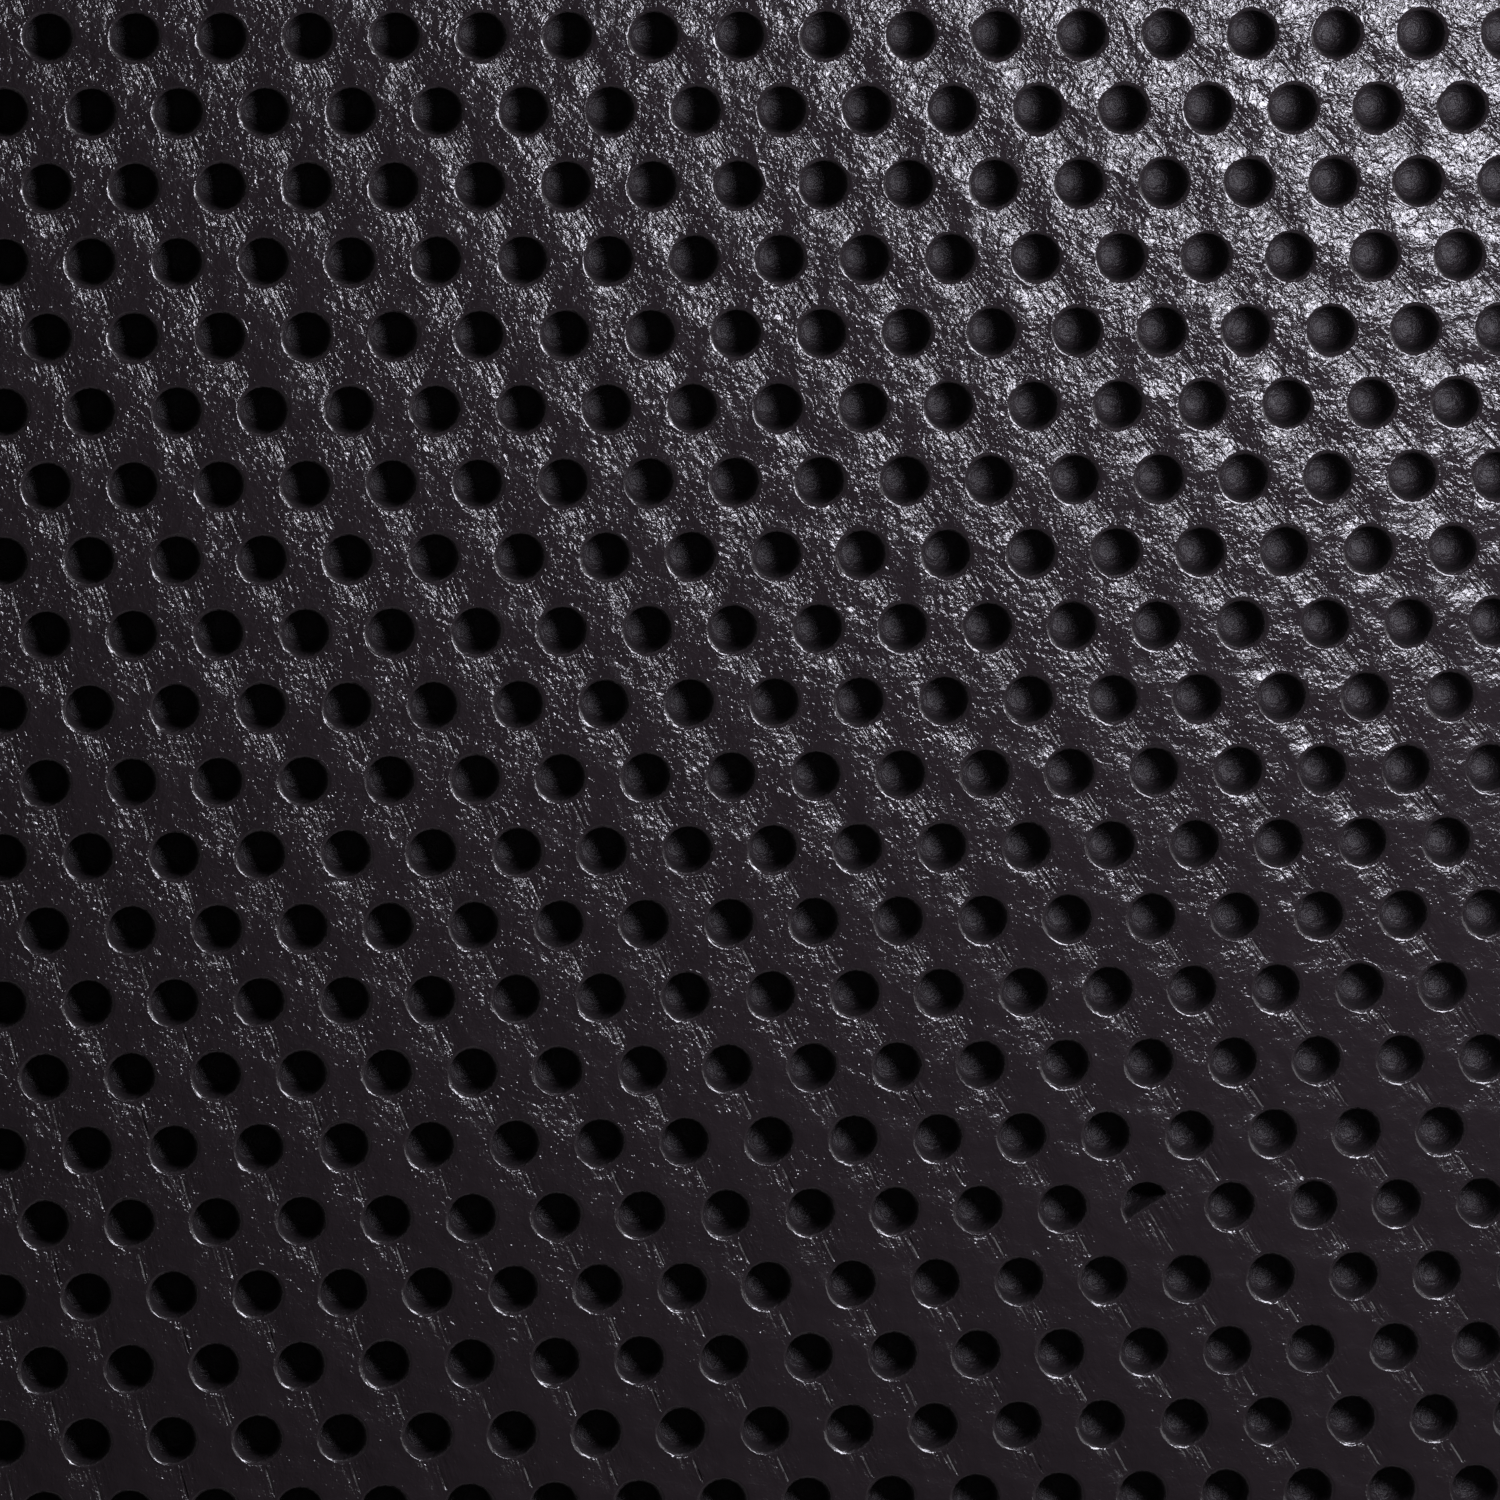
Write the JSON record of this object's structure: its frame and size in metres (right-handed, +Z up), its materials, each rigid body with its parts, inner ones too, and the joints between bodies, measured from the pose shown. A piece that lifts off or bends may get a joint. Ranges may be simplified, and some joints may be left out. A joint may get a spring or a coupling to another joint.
{
  "type": "door mat",
  "caption": "Flat rectangular door mat: a moulded rubber sheet with a dense grid of blind round dimples, edge-bound with mitred, sewn-on woven tape.",
  "frame": {"origin": "centre of the mat's footprint, on the floor plane that the lower lips of the binding rest on", "axes": "+X along the mat's length, +Y along its width towards the back edge, +Z up out of the dimpled walking face"},
  "size_m": [0.6, 0.4, 0.0126],
  "materials": {
    "moulded_rubber": "leathery moulded grain, satin",
    "woven_tape": "matt plain-woven tape",
    "sewing_thread": "twisted polyester thread"
  },
  "bodies": {
    "root": {"dimpled_sheet": "moulded_rubber", "binding_front": "woven_tape", "binding_right": "woven_tape", "binding_back": "woven_tape", "binding_left": "woven_tape", "needle_thread_front": "sewing_thread", "needle_thread_right": "sewing_thread", "needle_thread_back": "sewing_thread", "needle_thread_left": "sewing_thread", "bobbin_thread_front": "sewing_thread", "bobbin_thread_right": "sewing_thread", "bobbin_thread_back": "sewing_thread", "bobbin_thread_left": "sewing_thread"}
  },
  "joints": []
}
